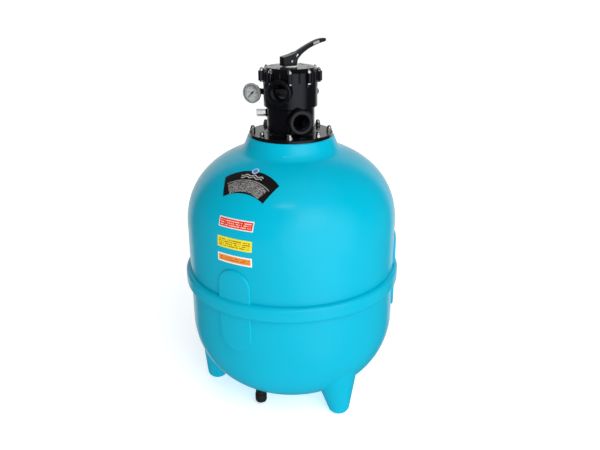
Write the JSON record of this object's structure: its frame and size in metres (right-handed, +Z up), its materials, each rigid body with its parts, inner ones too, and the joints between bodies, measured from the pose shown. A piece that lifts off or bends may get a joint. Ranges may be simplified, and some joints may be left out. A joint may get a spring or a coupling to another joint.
{
  "type": "sand filter tank",
  "caption": "Top-mount pool sand filter: round moulded tank on three legs with a waist band, bolted multiport valve, lever, pressure gauge, sight glass and drain.",
  "frame": {"origin": "on the tank's axis, on the floor under its three legs", "axes": "+Z up along the tank's axis, -Y to the front between the pump and return ports, +X to the right seen from the front"},
  "size_m": [0.6359, 0.636, 1.05],
  "materials": {
    "tank_plastic": "glossy moulded plastic",
    "valve_plastic": "glossy moulded plastic",
    "grey_plastic": "plain moulded plastic",
    "drain_plastic": "satin moulded plastic",
    "white_nylon": "turned nylon",
    "white_pipe": "extruded pipe",
    "black_rubber": "moulded rubber",
    "stainless_steel": "bright turned steel",
    "brass_insert": "turned brass",
    "silver_inlay": "satin foil",
    "clear_plastic": "clear and smooth",
    "gauge_black": "satin black paint",
    "gauge_chrome": "polished",
    "dial_white": "printed white enamel",
    "needle_black": "matt black paint",
    "label_black": "printed film",
    "label_red": "printed film",
    "label_yellow": "printed film",
    "label_orange": "printed film"
  },
  "bodies": {
    "root": {"tank_upper": "tank_plastic", "tank_lower": "tank_plastic", "neck_inserts": "brass_insert", "flange_seal": "black_rubber", "lid_seal": "black_rubber", "shaft_seal": "black_rubber", "spider_gasket": "black_rubber", "sight_glass_seal": "black_rubber", "fitting_seals": "black_rubber", "riser_seal": "black_rubber", "drain_seal": "black_rubber", "flange_studs": "stainless_steel", "flange_washers": "stainless_steel", "flange_cap_nuts": "stainless_steel", "lid_bolts": "stainless_steel", "lid_washers": "stainless_steel", "lid_nuts": "stainless_steel", "valve_body": "valve_plastic", "valve_lid": "valve_plastic", "spare_port_plug": "valve_plastic", "gauge_elbow": "valve_plastic", "diffuser": "grey_plastic", "lateral_hub": "grey_plastic", "thrust_washer": "white_nylon", "riser_pipe": "white_pipe", "lateral_pins": "white_nylon", "sight_glass": "clear_plastic", "gauge_lens": "clear_plastic", "gauge_case": "gauge_black", "gauge_bezel": "gauge_chrome", "gauge_movement": "brass_insert", "gauge_dial": "dial_white", "drain_spigot": "drain_plastic", "drain_collar": "drain_plastic", "drain_strainer": "grey_plastic", "name_label": "label_black", "sticker_red": "label_red", "sticker_yellow": "label_yellow", "sticker_orange": "label_orange"},
    "turret": {"slip_washer": "white_nylon", "rotor_spring": "stainless_steel"},
    "rotor": {"rotor": "grey_plastic"},
    "lever": {"lever": "valve_plastic", "lever_inlays": "silver_inlay", "lever_pin": "stainless_steel"},
    "needle": {"gauge_needle": "needle_black"},
    "drain_follower": {"drain_washer": "black_rubber"},
    "drain_cap": {"drain_cap": "drain_plastic"},
    "lateral_1": {"lateral_1": "grey_plastic"},
    "lateral_2": {"lateral_2": "grey_plastic"},
    "lateral_3": {"lateral_3": "grey_plastic"},
    "lateral_4": {"lateral_4": "grey_plastic"},
    "lateral_5": {"lateral_5": "grey_plastic"},
    "lateral_6": {"lateral_6": "grey_plastic"},
    "lateral_7": {"lateral_7": "grey_plastic"},
    "lateral_8": {"lateral_8": "grey_plastic"}
  },
  "joints": [
    {"name": "valve_turn", "type": "hinge", "parent": "root", "child": "turret", "pos_m": [0, 0, 0.974], "axis": [0, 0, 1], "continuous": true},
    {"name": "rotor_lift", "type": "slide", "parent": "turret", "child": "rotor", "axis": [0, 0, 1], "range_m": [0, 0.00472], "deforming": ["rotor_spring"]},
    {"name": "lever_press", "type": "hinge", "parent": "rotor", "child": "lever", "pos_m": [0, 0, 0.994], "axis": [-0.5, 0.866, 0], "range_deg": [0, 15], "stiffness_Nm_per_rad": 3, "springref_deg": -17.19},
    {"name": "gauge_needle_turn", "type": "hinge", "parent": "root", "child": "needle", "pos_m": [-0.09009, 0.04994, 0.904], "axis": [0.4848, 0.8746, 0], "range_deg": [0, 270], "stiffness_Nm_per_rad": 0.002, "springref_deg": -17.19},
    {"name": "drain_cap_turn", "type": "hinge", "parent": "drain_follower", "child": "drain_cap", "pos_m": [-0.098, -0.16974, 0], "axis": [0, 0, -1], "range_deg": [0, 1080]},
    {"name": "drain_cap_travel", "type": "slide", "parent": "root", "child": "drain_follower", "axis": [0, 0, -1], "range_m": [0, 0.00901]},
    {"name": "lateral_1_fold", "type": "hinge", "parent": "root", "child": "lateral_1", "pos_m": [0.01607, -0.0388, 0.137], "axis": [-0.9239, -0.3827, 0], "range_deg": [0, 88]},
    {"name": "lateral_2_fold", "type": "hinge", "parent": "root", "child": "lateral_2", "pos_m": [0.0388, -0.01607, 0.137], "axis": [-0.3827, -0.9239, 0], "range_deg": [0, 88]},
    {"name": "lateral_3_fold", "type": "hinge", "parent": "root", "child": "lateral_3", "pos_m": [0.0388, 0.01607, 0.137], "axis": [0.3827, -0.9239, 0], "range_deg": [0, 88]},
    {"name": "lateral_4_fold", "type": "hinge", "parent": "root", "child": "lateral_4", "pos_m": [0.01607, 0.0388, 0.137], "axis": [0.9239, -0.3827, 0], "range_deg": [0, 88]},
    {"name": "lateral_5_fold", "type": "hinge", "parent": "root", "child": "lateral_5", "pos_m": [-0.01607, 0.0388, 0.137], "axis": [0.9239, 0.3827, 0], "range_deg": [0, 88]},
    {"name": "lateral_6_fold", "type": "hinge", "parent": "root", "child": "lateral_6", "pos_m": [-0.0388, 0.01607, 0.137], "axis": [0.3827, 0.9239, 0], "range_deg": [0, 88]},
    {"name": "lateral_7_fold", "type": "hinge", "parent": "root", "child": "lateral_7", "pos_m": [-0.0388, -0.01607, 0.137], "axis": [-0.3827, 0.9239, 0], "range_deg": [0, 88]},
    {"name": "lateral_8_fold", "type": "hinge", "parent": "root", "child": "lateral_8", "pos_m": [-0.01607, -0.0388, 0.137], "axis": [-0.9239, 0.3827, 0], "range_deg": [0, 88]}
  ],
  "couplings": [
    {"joint": "rotor_lift", "follows": "lever_press", "m_per_rad": 0.018},
    {"joint": "drain_cap_travel", "follows": "drain_cap_turn", "m_per_rad": 0.00047746}
  ]
}
